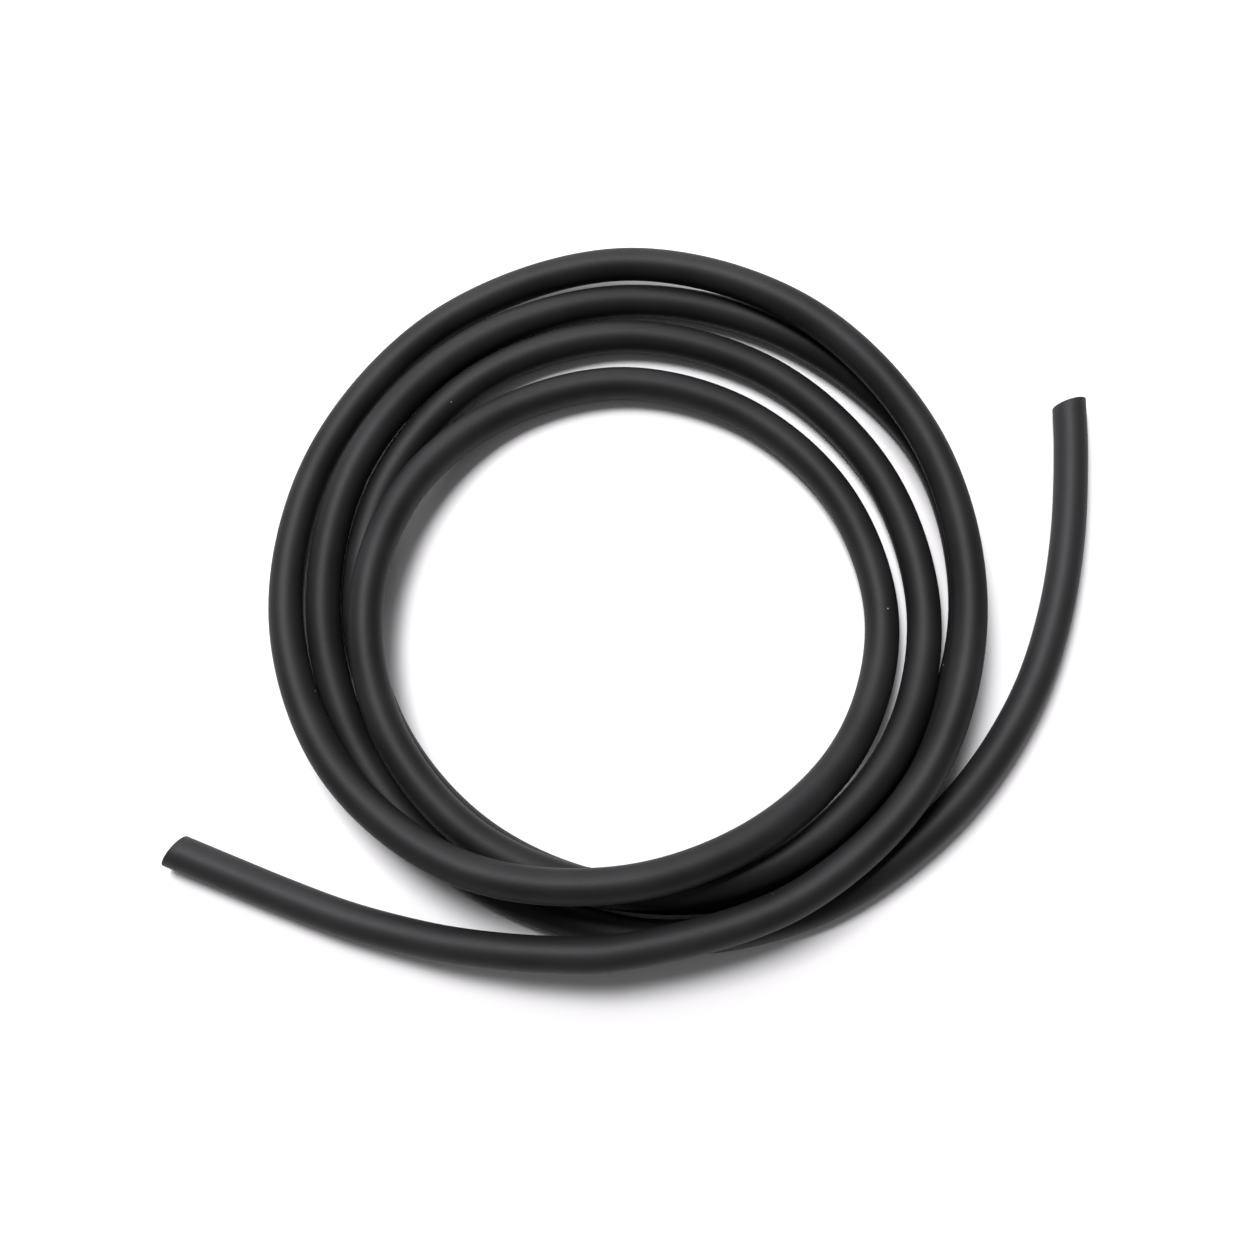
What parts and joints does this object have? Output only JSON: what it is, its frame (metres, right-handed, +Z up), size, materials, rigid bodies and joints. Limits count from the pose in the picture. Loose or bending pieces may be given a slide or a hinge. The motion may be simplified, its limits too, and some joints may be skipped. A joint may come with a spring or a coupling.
{
  "type": "fuel hose",
  "caption": "Plain black rubber fuel hose lying in a loose coil, round bore open at both hand-cut ends, to push onto small barbed fuel fittings.",
  "frame": {"origin": "on the floor under the middle of the coil's box", "axes": "+Z up from the floor, +X along the longest extent towards the end that lies under the coil, +Y away from the crossing of the turns"},
  "size_m": [0.2152, 0.1758, 0.0253],
  "materials": {
    "black_rubber": "matt extruded black nitrile rubber with a soft sheen"
  },
  "bodies": {
    "root": {"hose": "black_rubber"}
  },
  "joints": []
}
